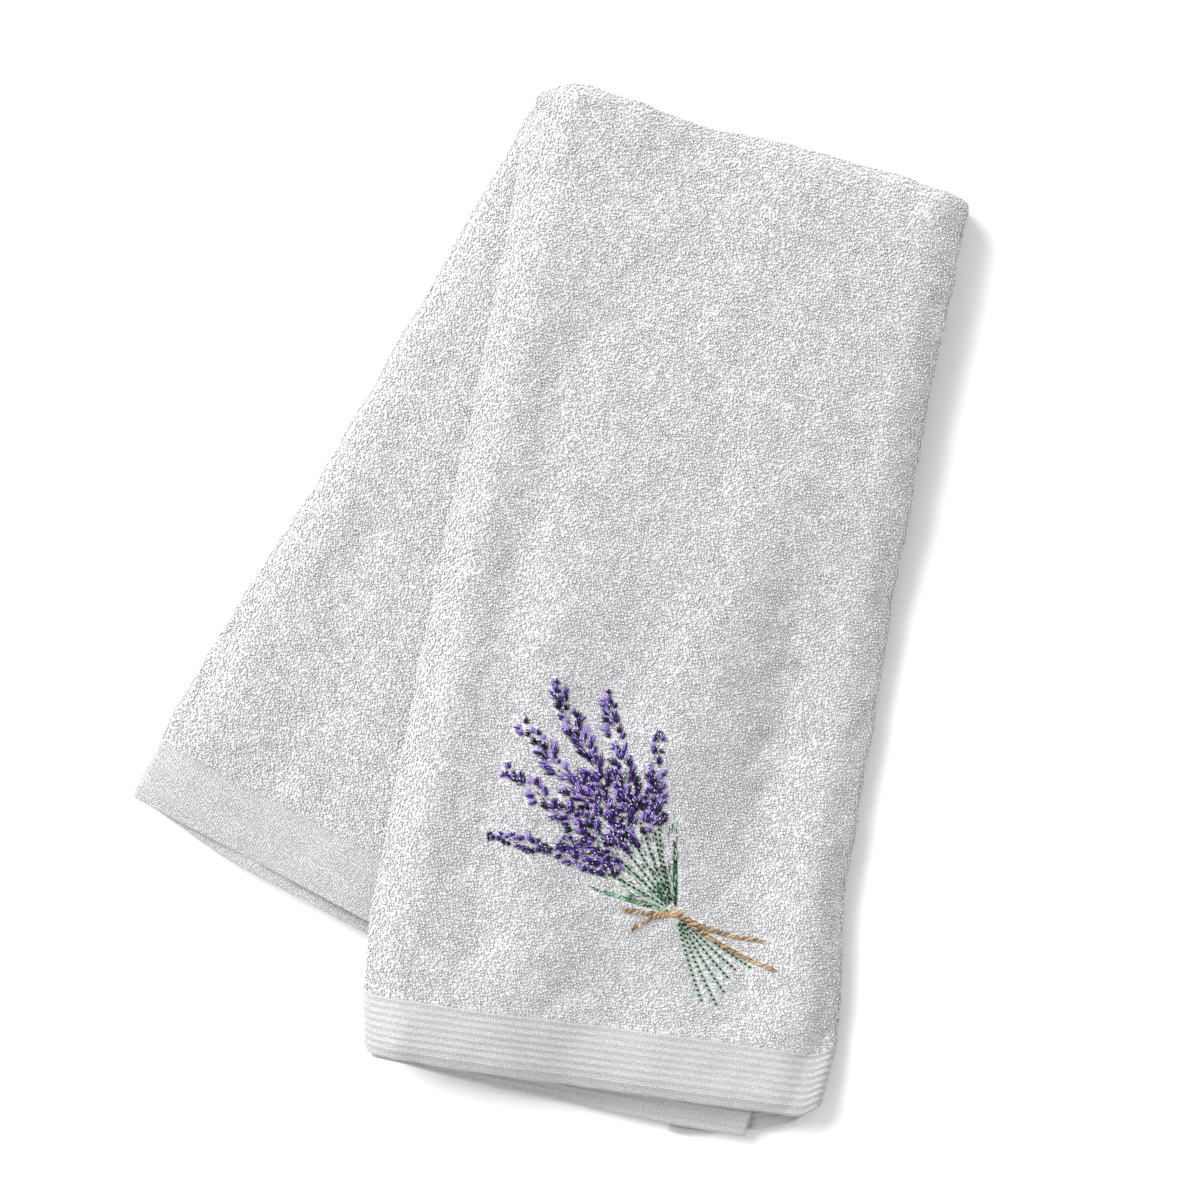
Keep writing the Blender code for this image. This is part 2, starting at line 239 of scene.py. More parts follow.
def on_curve(sections, side, share):
    """Points of the smooth side line at these shares of the length."""
    shares = np.array([section.share for section in sections])
    points = np.array([getattr(section, side) for section in sections])
    before = np.maximum(np.arange(len(sections)) - 1, 0)
    after = np.minimum(np.arange(len(sections)) + 1, len(sections) - 1)
    slopes = (points[after] - points[before]) / (shares[after] - shares[before])[:, None]
    index = np.clip(np.searchsorted(shares, share, side="right") - 1, 0, len(sections) - 2)
    span = (shares[index + 1] - shares[index])[:, None]
    x = (share - shares[index])[:, None] / span
    smooth = (
        points[index] * (1 + 2 * x) * (1 - x) ** 2
        + slopes[index] * span * x * (1 - x) ** 2
        + points[index + 1] * x * x * (3 - 2 * x)
        + slopes[index + 1] * span * x * x * (x - 1)
    )
    beyond = points[index + 1] + slopes[index + 1] * (x - 1) * span
    return np.where(x > 1, beyond, smooth)


def past_line(points, start, end):
    """Signed distances of plan points to the right of the line from start to end."""
    way = np.subtract(end, start)
    way = way / np.linalg.norm(way)
    return way[1] * (points[:, 0] - start[0]) - way[0] * (points[:, 1] - start[1])


def ridge_height(points, ridges):
    """Height that the ridges and troughs together add at plan points."""
    total = np.zeros(len(points))
    for ridge in ridges:
        start, run = np.array(ridge.start), np.subtract(ridge.end, ridge.start)
        share = np.clip((points - start) @ run / (run @ run), 0.0, 1.0)
        nearest = start + run * share[:, None]
        total += ridge.height * mound(np.linalg.norm(points - nearest, axis=1), ridge.half_width)
    return total


def back_heights(points, hem_settle=SETTLE_LENGTH, hang=1.0):
    """Middle heights of the back half at plan points: left flap, right flap, and the
    next layer above them all. Then the lift at the hem."""
    top, hem = BACK_PLAN[0], BACK_PLAN[-1]
    from_left = -past_line(points, top.left, hem.left)
    from_right = past_line(points, top.right, hem.right)
    width = from_left + from_right
    past_hem = past_line(points, hem.left, hem.right) - BACK_HEM.panel
    inside = support(-from_left) * support(past_hem, hem_settle)
    panel = inside * (1 - hang * (1 - support(-from_right)))
    left_flap = inside * support(from_left - LEFT_FLAP * width)
    right_flap = panel * support((1 - RIGHT_FLAP) * width - from_left)
    at_hem = ease(1 + past_hem / BACK_HEM_SLOPE)
    covered = past_line(points, FRONT_PLAN[-1].left, FRONT_PLAN[0].left) - COVERED_FROM
    rise = PUFF * (1 - COVERED_LOW * ease(covered / COVERED_SLOPE)) * (1 - at_hem)
    from_top = past_line(points, top.left, top.right)
    rise = rise * (CROSS_RISE + (1 - CROSS_RISE) * ease(from_top / CROSS_RISE_LENGTH))
    lift = BACK_HEM_LIFT * at_hem
    raised = rise * (1 - shoulder(from_left, LEFT_SHOULDER)) + lift
    raised = raised + ridge_height(points, BACK_RIDGES[:SOLID_BACK_RIDGES])
    left = LOWEST_MIDDLE + LAYER_PITCH * panel + raised * inside
    right = left + LAYER_PITCH * left_flap
    return left, right, right + LAYER_PITCH * right_flap, lift


def back_layers(points, across_share, width, share):
    """Middle heights of the back half's panel and of the flap at each side."""
    left, right, _, lift = back_heights(points)
    left = left + ridge_height(points, BACK_RIDGES[SOLID_BACK_RIDGES:])
    left = left - HEM_CLOSE * (lift / BACK_HEM_LIFT) ** 2
    return LOWEST_MIDDLE + lift, np.where(across.side < 0, left, right)


def front_layers(points, across_share, width, share):
    """Middle heights of the front half's panel and of the flap at each side."""
    from_hem = (1 - share) * FRONT_LENGTH
    base = back_heights(points, HEM_SETTLE_LENGTH, ease((share - HANG_FROM) / HANG_SHARE))[2]
    right_flap = support((1 - RIGHT_FLAP - across_share) * width)
    left_flap = support((across_share - LEFT_FLAP) * width)
    panel = base + LAYER_PITCH * (right_flap + left_flap) + ridge_height(points, FRONT_RIDGES)
    from_left, from_right = across_share * width, (1 - across_share) * width
    by_left = 1 - shoulder(from_left, LEFT_SHOULDER)
    lost = PUFF_LOST * ease((across_share - PUFF_LOST_FROM) / PUFF_LOST_OVER)
    panel = panel + PUFF * by_left * (1 - lost)
    panel = panel - RIGHT_DROP * shoulder(from_right, RIGHT_SHOULDER)
    panel = panel + RIGHT_CREST_HEIGHT * mound(from_right - RIGHT_CREST, RIGHT_CREST_WIDTH)
    panel = panel - HEM_DROP * shoulder(from_hem, HEM_ROLL) * by_left
    past_hem = past_line(points, FRONT_PLAN[-1].left, FRONT_PLAN[-1].right) - FLAP_DROP_FROM
    base = np.maximum(base - FLAP_DROP * ease(past_hem / FLAP_DROP_LENGTH), LOWEST_MIDDLE)
    panel = np.maximum(panel, base + LAYER_PITCH * (right_flap + left_flap))
    return panel, np.where(across.side < 0, base + LAYER_PITCH * right_flap, base)


def hem_reach(hem):
    """How far past the plan's last section the cloth goes at each place across it."""
    fold = np.where(across.side < 0, hem.left_fold, hem.right_fold)
    selvage = np.where(across.side < 0, hem.left_selvage, hem.right_selvage)
    from_fold = np.where(across.side < 0, across.share / LEFT_FLAP, (1 - across.share) / RIGHT_FLAP)
    flap = fold + (selvage - fold) * np.sin(np.minimum(from_fold, 1.0) * math.pi / 2)
    panel = hem.panel * ease(across.share / PANEL_HEM_GROWS)
    inward = np.where(across.side < 0, across.share, 1 - across.share) * HEM_WIDTH
    inward = inward + HEM_BULGE * (1 - np.sin(across.turn))
    radius = np.where(across.side < 0, *hem.corners)
    cut = np.clip(1 - inward / radius, 0.0, 1.0)
    return panel + (flap - panel) * under(across.turn) - radius * (1 - np.sqrt(1 - cut * cut))


def side_length(plan, side):
    """Length of a half's left or right side in plan."""
    return float(np.linalg.norm(np.subtract(getattr(plan[0], side), getattr(plan[-1], side))))


def fold_arc(heights, slopes):
    """Ways out and heights of the points on the arcs that join a panel to its flaps. An
    arc leaves the upper layer's edge along its slope and runs into the lower layer's."""
    above = heights[0] > heights[1]
    down, up = np.where(above, slopes, slopes[::-1])
    sideways = np.sin(up) + np.sin(down)
    radius = np.abs(heights[0] - heights[1]) / (np.cos(down) + np.cos(up) + np.tan(up) * sideways)
    from_upper = np.where(above, across.turn, np.pi - across.turn) / np.pi
    angle = down + (np.pi + up - down) * from_upper
    out = radius * (np.sin(angle) - np.sin(down))
    return out, np.max(heights, axis=0) - radius * (np.cos(down) - np.cos(angle))


def strip_row(plan, hem, layers, terry_share, band_share):
    """One row of points of the cloth's middle, at a share of the terry's length and of
    the band's width."""
    left_length, right_length = side_length(plan, "left"), side_length(plan, "right")
    band = BAND_WIDTH / (left_length + (right_length - left_length) * across.share)
    share = (1 - band) * terry_share + band * band_share
    reached = share * (1 + hem_reach(hem) / left_length)
    left, right = on_curve(plan, "left", reached), on_curve(plan, "right", reached)
    width = np.linalg.norm(right - left, axis=1)
    points = left + (right - left) * across.share[:, None]
    towards_right = (right - left) / width[:, None]
    heights = np.array(layers(points, across.share, width, share))
    run = -SLOPE_RUN * across.side
    further = points + towards_right * run[:, None]
    further_heights = layers(further, across.share + run / width, width, share)
    slopes = np.arctan((further_heights - heights) / SLOPE_RUN)
    out, arc_height = fold_arc(heights, slopes)
    at_fold = (across.share == 0) | (across.share == 1)
    points = points + towards_right * (at_fold * out * across.side)[:, None]
    level = np.where(across.turn > 0, heights[1], heights[0])
    return np.column_stack((points, np.where(at_fold, arc_height, level)))


FRONT, BACK = (FRONT_PLAN, FRONT_HEM, front_layers), (BACK_PLAN, BACK_HEM, back_layers)


def cross_row(turn):
    """One row of points of the cloth's middle on the crosswise fold."""
    front = strip_row(*FRONT, 0.0, 0.0)
    back = strip_row(*BACK, 0.0, 0.0)
    line = np.subtract(FRONT_PLAN[0].right, FRONT_PLAN[0].left)
    outward = np.array((-line[1], line[0], 0.0)) / np.linalg.norm(line)
    half_height = (front[:, 2] - back[:, 2]) / 2
    on_panel = across.turn == 0
    inner = np.interp(across.share, across.share[on_panel], half_height[on_panel]) - half_height
    reach = CROSS_REACH - CROSS_CORNER * (2 * across.share - 1) ** 8 - inner
    reach = np.minimum(reach, CROSS_SLIM * half_height - CROSS_TIGHT)
    square = 1 - (1 - CROSS_SQUARE) * ease(half_height / CROSS_ROUND)
    down = (1 - math.copysign(1, math.cos(turn)) * abs(math.cos(turn)) ** square) / 2
    points = front + (back - front) * down[:, None]
    return points + (reach * math.sin(turn) ** square)[:, None] * outward


FRONT_LENGTH = side_length(FRONT_PLAN, "left")

# Places across the cloth: share of the panel's width, side of the nearest fold, turn
Across = namedtuple("Across", "share side turn")
places = [(LEFT_FLAP - edge, -1, math.pi) for edge in SELVAGE_EDGE]
flap_shares = np.linspace(1.0, 0.0, FLAP_STEPS + 1) ** FLAP_CLOSER
flap_shares = (LEFT_FLAP - SELVAGE_EDGE[-1]) * flap_shares
places += [(share, -1, math.pi) for share in flap_shares[1:-1]]
places += [(0.0, -1, turn) for turn in np.linspace(math.pi, 0.0, FOLD_STEPS + 1)[:-1]]
panel_turns = np.linspace(0.0, 2 * math.pi, PANEL_STEPS + 1)
panel_shares = (panel_turns - PANEL_CLOSER * np.sin(panel_turns)) / (2 * math.pi)
panel_shares[-1] = 1.0
places += [(share, -1 if share < 0.5 else 1, 0.0) for share in panel_shares]
places += [(1.0, 1, turn) for turn in np.linspace(0.0, math.pi, FOLD_STEPS + 1)[1:]]
flap_shares = np.linspace(1.0, 1.0 - RIGHT_FLAP + SELVAGE_EDGE[-1], SHORT_FLAP_STEPS + 1)
places += [(share, 1, math.pi) for share in flap_shares[1:-1]]
places += [(1.0 - RIGHT_FLAP + edge, 1, math.pi) for edge in reversed(SELVAGE_EDGE)]
across = Across(*(np.array(column) for column in zip(*places)))

# Rows along the cloth, from the front hem over the crosswise fold to the back hem
bands = sorted({*HEM_EDGE, *np.linspace(HEM_EDGE[-1], 1.0, BAND_STEPS + 1)})
plain_bands = sorted({*HEM_EDGE, *np.linspace(HEM_EDGE[-1], 1.0, PLAIN_BAND_STEPS + 1)})
rows, row_band = [], []


def add_row(row, from_edge=-1.0):
    """Adds a row and its distance from its hem's edge, which is -1 outside the bands."""
    rows.append(row)
    row_band.append(from_edge)


for share in bands[:-1]:
    add_row(strip_row(*FRONT, 1.0, 1.0 - share), share * BAND_WIDTH)
for share in np.linspace(1.0, 0.0, FRONT_STEPS + 1):
    add_row(strip_row(*FRONT, share, 0.0))
first_cross = len(rows)
for turn in np.linspace(0.0, math.pi, CROSS_STEPS + 1)[1:-1]:
    add_row(cross_row(turn))
first_back = len(rows)
for share in np.linspace(0.0, 1.0, BACK_STEPS + 1):
    add_row(strip_row(*BACK, share, 0.0))
last_back = len(rows)
for share in reversed(plain_bands[:-1]):
    add_row(strip_row(*BACK, 1.0, 1.0 - share), share * BAND_WIDTH)
middle = np.array(rows)
row_band = np.array(row_band)
last_band = len(bands) - 1
panel_columns = np.flatnonzero(across.turn == 0)
first_panel, last_panel = panel_columns[0], panel_columns[-1]


def unit(vectors):
    """The same directions at length 1."""
    return vectors / np.maximum(np.linalg.norm(vectors, axis=-1, keepdims=True), 1e-12)


def outward_of(points):
    """Unit normals of a grid of points, on the cloth's right side."""
    return unit(np.cross(np.gradient(points, axis=1), np.gradient(points, axis=0)))


def patches(points, size, seed):
    """Smooth noise from about -1 to 1 at each point, in patches of this size."""
    shift = Vector((seed * 7.3, seed * 3.1, seed * 5.7))
    return np.array([noise.noise(Vector(point) / size + shift) for point in points.reshape(-1, 3)])


# The cloth is never quite even: it swells and dips a little from place to place, and more
# at the folds, where it makes the outline uneven
Swell = namedtuple("Swell", "height size seed")
WIDE_SWELL, SMALL_SWELL = Swell(0.00078, 0.021, 1), Swell(0.00050, 0.009, 2)
RIM_SWELL, RIM_WIDTH = Swell(0.00075, 0.013, 5), 0.007
outward = outward_of(middle)
swell = (
    WIDE_SWELL.height * patches(middle, WIDE_SWELL.size, WIDE_SWELL.seed)
    + SMALL_SWELL.height * patches(middle, SMALL_SWELL.size, SMALL_SWELL.seed)
).reshape(middle.shape[:2])
from_fold = np.minimum(across.share, 1 - across.share) * HEM_WIDTH
at_rim = mound(from_fold, RIM_WIDTH)[None, :] * np.ones((len(rows), 1))
at_rim[first_cross - 2:first_back + 2] = 1.0
rim_patches = patches(middle, RIM_SWELL.size, RIM_SWELL.seed).reshape(swell.shape)
swell = swell + RIM_SWELL.height * at_rim * rim_patches
middle = middle + outward * swell[..., None]
outward = outward_of(middle)

# Half thickness at each point: thin ground, thicker bands with ribs and a rounded edge
in_band = row_band >= 0
ribs = np.where(np.arange(len(rows)) < last_band, RIB_HEIGHT, 0.0)
ribs = ribs * mound((row_band / RIB_PITCH) % 1.0 - 0.5, RIB_HALF_WIDTH)
half = np.where(in_band, BAND_HALF, GROUND_HALF) + ribs
edge = np.clip(row_band / TURNED_EDGE, 0.0, 1.0)
roundness = TURNED_EDGE_THIN + (1 - TURNED_EDGE_THIN) * np.sqrt(1 - (1 - edge) ** 2)
half = np.where(in_band, half * roundness, half)
half = np.repeat(half[:, None], len(across.share), axis=1)
for steps, column in enumerate(SELVAGE_THINNING):
    half[:, steps] *= column
    half[:, -1 - steps] *= column


def lengths_along(points):
    """Distances of points from the first of them, along the line through them all."""
    return np.concatenate(([0.0], np.cumsum(np.linalg.norm(np.diff(points, axis=0), axis=1))))


# Flat places on the cloth, in metres across and along it
flat_across = lengths_along(middle[len(rows) // 4])
flat_along = lengths_along(middle[:, (first_panel + last_panel) // 2])


def mesh_piece(name, vertices, faces, materials, slots):
    """A smooth mesh object in the scene, riding on the towel's body."""
    mesh = bpy.data.meshes.new(name)
    mesh.from_pydata(np.asarray(vertices).tolist(), [], np.asarray(faces).tolist())
    mesh.shade_smooth()
    for material in materials:
        mesh.materials.append(material)
    mesh.polygons.foreach_set("material_index", np.asarray(slots, dtype=np.int32))
    piece = bpy.data.objects.new(name, mesh)
    bpy.context.scene.collection.objects.link(piece)
    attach(piece, "root")
    return piece


def sheet_faces(row_count, column_count):
    """Quads of the right side, then of the wrong side and of the rim between them."""
    number = np.arange(row_count * column_count).reshape(row_count, column_count)
    right = np.stack((number[:-1, :-1], number[:-1, 1:], number[1:, 1:], number[1:, :-1]), -1)
    right = right.reshape(-1, 4)
    rim = np.concatenate((number[0, :-1], number[:-1, -1], number[-1, :0:-1], number[:0:-1, 0]))
    after = np.roll(rim, -1)
    wrong = number.size
    sides = np.stack((after, rim, rim + wrong, after + wrong), -1)
    return np.concatenate((right, right[:, ::-1] + wrong, sides))


raised = outward * half[..., None]
vertices = np.concatenate(((middle + raised).reshape(-1, 3), (middle - raised).reshape(-1, 3)))
side_count = len(vertices) // 2
faces = sheet_faces(*middle.shape[:2])
TERRY_SLOT, RIBBED_SLOT, PLAIN_SLOT = 0, 1, 2
row_slot = np.full(len(rows) - 1, TERRY_SLOT)
row_slot[:last_band] = RIBBED_SLOT
row_slot[last_back - 1:] = PLAIN_SLOT
face_rows = (faces % side_count).min(axis=1) // middle.shape[1]
slots = row_slot[np.minimum(face_rows, len(rows) - 2)]

# Cotton terry ground, woven: matt and soft, with painted shade: its colour is darker in the pits between
# the feet of the loops, which are about 2.5 by 1 mm
GROUND_WHITE, GROUND_PAINTED_SHADE = "E2E2E4", "CACACC"
PITS, PIT_TURN, PIT_DEPTH = (400.0, 1000.0, 700.0), math.radians(55), 0.0008  # pits to the metre
ground, tree = new_material("white cotton terry ground")
place = node(tree, "ShaderNodeTexCoord")
turned = node(tree, "ShaderNodeMapping", {
    "Vector": place.outputs["Object"], "Rotation": (0.0, 0.0, -PIT_TURN), "Scale": PITS,
})
pits = node(tree, "ShaderNodeTexVoronoi", {
    "Vector": turned.outputs["Vector"], "Scale": 1.0,
}, feature="F1")
# Painted shade: the colour goes from white on the loops' feet to grey in the pits between them, following
# the same pattern as the bump
shade = node(tree, "ShaderNodeMix", {
    0: pits.outputs["Distance"], 6: linear(GROUND_WHITE), 7: linear(GROUND_PAINTED_SHADE),
}, data_type="RGBA")
bump = node(tree, "ShaderNodeBump", {
    "Height": pits.outputs["Distance"], "Strength": 1.0, "Distance": PIT_DEPTH,
}, invert=True)
shader = node(tree, "ShaderNodeBsdfPrincipled", {
    "Base Color": shade.outputs[2], "Roughness": 0.95, "Normal": bump.outputs["Normal"],
})
node(tree, "ShaderNodeOutputMaterial", {"Surface": shader.outputs["BSDF"]})


WEAVE = (("X", 0.0011), ("Y", 0.0010))  # pitch of the threads across and along
STRAYS = 900.0  # to the metre


def woven_material(name, light, dark, depth, stray):
    """Flat-woven cotton: threads across and along, each a soft ridge that strays a little.
    They are drawn somewhat coarser than real ones, so that they show."""
    material, tree = new_material(name)
    flat = node(tree, "ShaderNodeUVMap", uv_map="flat")
    split = node(tree, "ShaderNodeSeparateXYZ", {"Vector": flat.outputs["UV"]})
    wander = node(tree, "ShaderNodeTexNoise", {
        "Vector": flat.outputs["UV"], "Scale": STRAYS, "Detail": 2.0,
    })
    strayed = node(tree, "ShaderNodeMath", {0: wander.outputs["Fac"], 1: stray}, operation="MULTIPLY")
    waves = []
    for axis, pitch in WEAVE:
        phase = node(tree, "ShaderNodeMath", {
            0: split.outputs[axis], 1: 2 * math.pi / pitch, 2: strayed.outputs[0],
        }, operation="MULTIPLY_ADD")
        waves.append(node(tree, "ShaderNodeMath", {0: phase.outputs[0]}, operation="SINE"))
    weave = node(tree, "ShaderNodeMath", {0: waves[0].outputs[0], 1: waves[1].outputs[0]}, operation="ADD")
    level = node(tree, "ShaderNodeMapRange", {
        "Value": weave.outputs[0], "From Min": -2.0, "From Max": 2.0,
    })
    # Painted shade: each thread's crest takes the light colour and the hollows between threads take the
    # dark one
    colour = node(tree, "ShaderNodeMix", {
        0: level.outputs["Result"], 6: linear(dark), 7: linear(light),
    }, data_type="RGBA")
    bump = node(tree, "ShaderNodeBump", {
        "Height": level.outputs["Result"], "Strength": 1.0, "Distance": depth,
    })
    shader = node(tree, "ShaderNodeBsdfPrincipled", {
        "Base Color": colour.outputs[2], "Roughness": 0.8, "Normal": bump.outputs["Normal"],
    })
    node(tree, "ShaderNodeOutputMaterial", {"Surface": shader.outputs["BSDF"]})
    return material


# Ribbed cotton band: closely woven, smoother and a little greyer than terry, and its ribs catch the light.
# Plain cotton hem: a close flat weave that shows as a fine grain. In both, the hollows between threads are
# painted darker, as painted shade.
ribbed = woven_material("ribbed cotton band", "CBCBCD", "A6A6A8", depth=0.00026, stray=13.0)
plain = woven_material("plain woven cotton hem", "E4E4E5", "959597", depth=0.00046, stray=14.0)

towel = mesh_piece("towel", vertices, faces, [ground, ribbed, plain], slots)
flat_map = towel.data.uv_layers.new(name="flat")
corners = np.empty(len(towel.data.loops), dtype=np.int32)
towel.data.loops.foreach_get("vertex_index", corners)
on_wrong = corners >= side_count
corners %= side_count
flat_places = np.column_stack((
    flat_across[corners % middle.shape[1]], flat_along[corners // middle.shape[1]],
))
flat_map.data.foreach_set("uv", flat_places.ravel())
# A second map for baking, in 0 to 1: right side in its upper half, wrong side in its lower
bake_places = flat_places / (flat_across[-1], 2 * flat_along[-1])
bake_places[:, 1] += np.where(on_wrong, 0.0, 0.5)
towel.data.uv_layers.new(name="OFBake").data.foreach_set("uv", bake_places.ravel())
towel.data.uv_layers.active = flat_map
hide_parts("towel_cloth")

# ------------------------------------------------
# Embroidery: a bunch of lavender tied with twine, stitched by machine through the pile of
# the front in glossy coloured thread. Each stitch is one length of thread that dips into
# the cloth at both ends.

# Angles: degrees to the left of up in the plan. Layers: the number of threads underneath.
TIE = np.array((0.0534, -0.1262))
BUNCH_ANGLE, BUNCH_CLOSE = 34.0, 0.62
THREAD_WIDTH, THREAD_RISE, THREAD_LAYER = 0.00044, 0.00048, 0.00030
STITCH_SHARES = np.array((0.0, 0.15, 0.5, 0.85, 1.0))
STITCH_LIFTS = np.array((-1.0, 0.75, 1.0, 0.75, -1.0))
STITCH_RADII = np.array((0.85, 1.0, 0.85))
TUBE_CORNERS, TUBE_FLATNESS = 4, 0.9
rng = np.random.default_rng(5)


def tubes(stations, side, up, radius):
    """Closed tubes, each through its row of stations, with pointed ends sunk in the
    cloth. Returns vertices and triangles."""
    count, length = stations.shape[:2]
    corners = TUBE_CORNERS
    angles = np.arange(corners) * 2 * math.pi / corners + math.pi / 2
    ring = (
        np.cos(angles)[None, None, :, None] * side[:, None, None, :]
        + TUBE_FLATNESS * np.sin(angles)[None, None, :, None] * up[:, None, None, :]
    ) * radius[:, :, None, None]
    rings = stations[:, 1:-1, None, :] + ring
    each = 2 + (length - 2) * corners
    vertices = np.concatenate((
        stations[:, :1], rings.reshape(count, -1, 3), stations[:, -1:],
    ), axis=1).reshape(-1, 3)
    triangles = []
    for corner in range(corners):
        following = (corner + 1) % corners
        triangles.append((0, 1 + following, 1 + corner))
        for ring_number in range(length - 3):
            low, high = 1 + ring_number * corners, 1 + (ring_number + 1) * corners
            triangles.append((low + corner, low + following, high + corner))
            triangles.append((low + following, high + following, high + corner))
        last = 1 + (length - 3) * corners
        triangles.append((each - 1, last + corner, last + following))
    starts = np.arange(count)[:, None, None] * each
    return vertices, (np.array(triangles)[None] + starts).reshape(-1, 3)


def aim(angle):
    """Unit plan vector at this angle."""
    turn = math.radians(angle)
    return np.array((-math.sin(turn), math.cos(turn)))


def stem_place(angle, reach, share):
    """A point of a stem of the bunch, and the stem's angle there. Stems leave the tie
    close together and then fan out."""
    leaning = BUNCH_ANGLE + (angle - BUNCH_ANGLE) * (BUNCH_CLOSE + (1 - BUNCH_CLOSE) * share)
    return TIE + reach * share * aim(leaning), leaning


Stitch = namedtuple("Stitch", "start end thread layer")
FLORET_HALF, FLORET_PITCH, FLORET_FAN = 3, 0.00027, (0.00002, 0.00042)
FLORET_TONE, PAINTED_SIDE_SHADE, STITCH_TONE = 0.75, 0.32, 0.6
DARK_BELOW, LIGHT_ABOVE, PAINTED_SHADE_ANGLE = -0.40, 0.60, -135


def floret(base, angle, size):
    """Short stitches side by side, fanned out in the shape of a small petal, and darker on the side that
    faces down and to the right, as painted shade."""
    ahead, aside = aim(angle), aim(angle + 90)
    # Painted shade: the petal's side away from the light gets darker threads; the floret's own tone and
    # the per-stitch noise vary at random
    painted_shade_side = -1 if aside @ aim(PAINTED_SHADE_ANGLE) > 0 else 1
    own_tone = rng.normal(0.0, FLORET_TONE)
    made = []
    for offset in range(-FLORET_HALF, FLORET_HALF + 1):
        start = base + aside * offset * FLORET_PITCH
        long = size * (1 - 0.09 * abs(offset)) * rng.uniform(0.65, 1.20)
        end = start + ahead * long + aside * offset * rng.uniform(*FLORET_FAN)
        tone = own_tone + PAINTED_SIDE_SHADE * offset * painted_shade_side + rng.normal(0.0, STITCH_TONE)
        thread = "dark" if tone < DARK_BELOW else "light" if tone > LIGHT_ABOVE else "violet"
        made.append(Stitch(start, end, thread, 1 + 1.6 * rng.random()))
    return made


def dashes(places, length, gap, thread, layer):
    """Running stitches along a line of plan points."""
    places = np.array(places)
    along = lengths_along(places)
    made = []
    first = rng.uniform(0.0, length + gap) if gap > length / 4 else 0.0
    for start in np.arange(first, along[-1] - length * 0.6, length + gap):
        ends = [
            np.array([np.interp(at, along, places[:, axis]) for axis in (0, 1)])
            for at in (start, min(start + length, along[-1]))
        ]
        made.append(Stitch(ends[0], ends[1], thread, layer))
    return made


WHORL_PITCH = (0.0017, 0.0026)
NO_FLORET, CALYX_AND_SHADOW_FOOT, BRIGHT_TIP = 0.14, 0.55, 0.40  # chances at each side of a whorl
HEART_CHANCES = (("green", 0.55), ("pale", 0.45), ("white", 0.35), ("dark", 0.45))
FOOT_LAYER, TIP_LAYER, HEART_LAYER = 3, 3.2, 3.4


def lavender_head(angle, reach, first_share, wide):
    """Florets up both sides of a stem in ragged whorls, widest near the middle of the
    head, with dark, green and white stitches over the stem between them."""
    made = []
    share = first_share
    while share < 0.985:
        place, leaning = stem_place(angle, reach, share)
        through = (share - first_share) / (1 - first_share)
        belly = math.sin(math.pi * min(1.0, 0.15 + 0.75 * through))
        spread = wide * (0.80 + 0.35 * belly - 0.38 * through)
        for turn in (-1, 1):
            if rng.random() < NO_FLORET:
                continue
            out = rng.random()
            opening = turn * (14 + 40 * out) + rng.uniform(-12, 12)
            opened = aim(leaning + opening)
            base = place + aim(leaning + turn * 90) * spread * out * 0.42
            made += floret(base, leaning + opening, spread * rng.uniform(0.42, 0.78))
            tip = base + opened * spread * 0.45
            # A dark stitch at the floret's foot: partly its calyx, partly painted shadow under the floret
            if rng.random() < CALYX_AND_SHADOW_FOOT:
                foot = base - aim(leaning) * 0.0008
                made.append(Stitch(foot, base + opened * 0.0010, "dark", FOOT_LAYER))
            if rng.random() < BRIGHT_TIP:
                thread = ("white", "light", "pale", "light")[rng.integers(4)]
                end = tip + aim(leaning + rng.uniform(-60, 60)) * 0.0011
                made.append(Stitch(tip, end, thread, TIP_LAYER))
        for thread, chance in HEART_CHANCES:
            if rng.random() < chance:
                heart = place + aim(leaning + 90) * rng.uniform(-0.0012, 0.0012)
                heart = heart + aim(leaning) * rng.uniform(-0.001, 0.001)
                end = heart + aim(leaning + rng.uniform(-45, 45)) * 0.0013
                made.append(Stitch(heart, end, thread, HEART_LAYER))
        share += rng.uniform(*WHORL_PITCH) / reach
    return made


PALE_LENGTH, PALE_GAP, PALE_ASIDE = 0.0030, 0.0001, 0.0008
STEM_LAYER = 1.5


def doubled(stitches, angle, aside):
    """The same stitches with a copy beside each, which looks like one thick stitch."""
    copies = []
    for stitch in stitches:
        start, end = (place + aim(angle + 90) * aside for place in stitch[:2])
        copies.append(Stitch(start, end, stitch.thread, stitch.layer))
    return stitches + copies


def stem_lines(angle, reach, first_share, last_share):
    """A stem: dark running stitches with a pale line beside it."""
    shares = np.linspace(first_share, last_share, 12)
    places = [stem_place(angle, reach, share)[0] for share in shares]
    beside = [place + aim(angle + 90) * PALE_ASIDE for place in places]
    made = doubled(dashes(places, 0.0014, 0.0009, "green", STEM_LAYER), angle, 0.00036)
    return made + dashes(beside, PALE_LENGTH, PALE_GAP, "pale", 0)


# Heads: angle, reach from the tie, share of it where the flowers start, width. The first
# seven have a stem that shows.
HEADS_WITH_STEMS = 7
Head = namedtuple("Head", "angle reach first_share wide")
HEADS = (
    Head(5, 0.078, 0.50, 0.0052), Head(17, 0.098, 0.42, 0.0080), Head(28, 0.112, 0.38, 0.0085),
    Head(39, 0.104, 0.36, 0.0082), Head(50, 0.096, 0.38, 0.0076), Head(67, 0.086, 0.40, 0.0052),
    Head(10, 0.060, 0.60, 0.0052), Head(23, 0.068, 0.50, 0.0064), Head(34, 0.072, 0.44, 0.0066),
    Head(45, 0.066, 0.48, 0.0064), Head(57, 0.058, 0.50, 0.0056),
)
STEM_FROM = 0.004
flowers, greens, twine = [], [], []
for head in HEADS:
    flowers += lavender_head(*head)
for head in HEADS[:HEADS_WITH_STEMS]:
    greens += stem_lines(head.angle, head.reach, STEM_FROM / head.reach, head.first_share)

